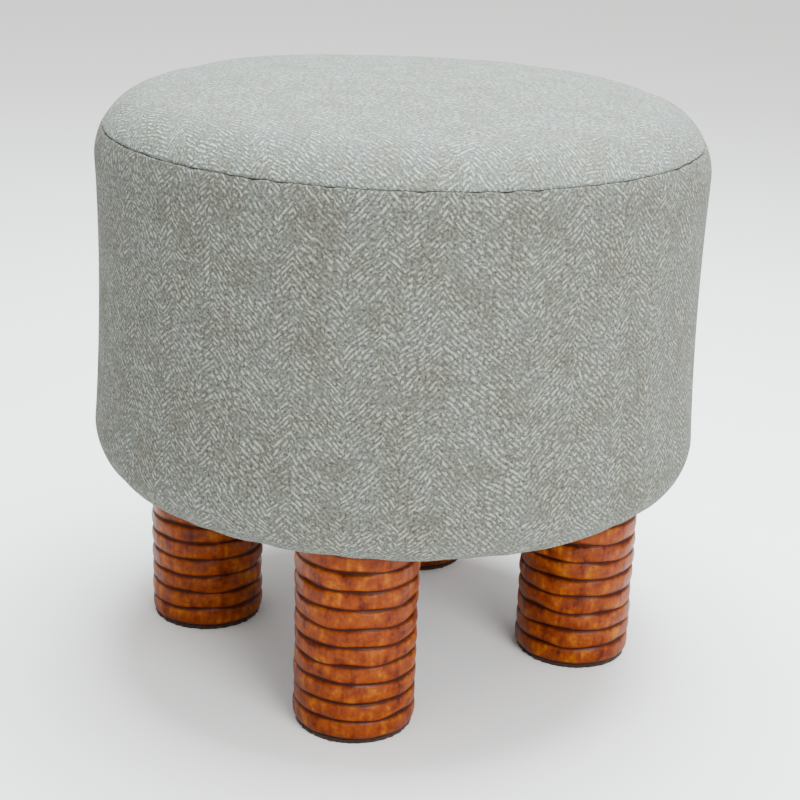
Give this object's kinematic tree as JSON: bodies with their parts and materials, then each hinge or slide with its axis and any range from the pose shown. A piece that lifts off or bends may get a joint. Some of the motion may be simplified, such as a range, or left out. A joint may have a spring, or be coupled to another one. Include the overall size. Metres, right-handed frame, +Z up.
{
  "type": "footstool",
  "caption": "Round upholstered footstool: a padded fabric drum with a sewn shoulder seam, on short thick ring-carved wooden legs.",
  "frame": {"origin": "on the floor, under the middle of the drum", "axes": "+Z up along the drum's axis; -Y is the front; the legs stand on the diagonals between X and Y"},
  "size_m": [0.325, 0.325, 0.316],
  "materials": {
    "upholstery": "herringbone weave, grey-green, matt",
    "foam": "open-cell foam",
    "plywood": "sanded",
    "pine": "sawn",
    "fibreboard": "pressed",
    "leg_wood": "amber stain under gloss lacquer",
    "felt": "pressed felt",
    "dust_cloth": "non-woven, matt",
    "zinc_steel": "zinc plated"
  },
  "bodies": {
    "root": {"cover_top_panel": "upholstery", "cover_side_band": "upholstery", "top_foam": "foam", "side_foam": "foam", "base_board": "plywood", "top_board": "plywood", "post_right": "pine", "post_rear": "pine", "post_left": "pine", "post_front": "pine", "side_wall": "fibreboard", "base_screws": "zinc_steel", "top_screws": "zinc_steel", "hem_staples": "zinc_steel", "dust_cover_staples": "zinc_steel", "tee_nuts": "zinc_steel", "hanger_bolts": "zinc_steel", "dust_cover": "dust_cloth", "leg_front_left": "leg_wood", "foot_pad_front_left": "felt", "leg_front_right": "leg_wood", "foot_pad_front_right": "felt", "leg_rear_left": "leg_wood", "foot_pad_rear_left": "felt", "leg_rear_right": "leg_wood", "foot_pad_rear_right": "felt"}
  },
  "joints": []
}
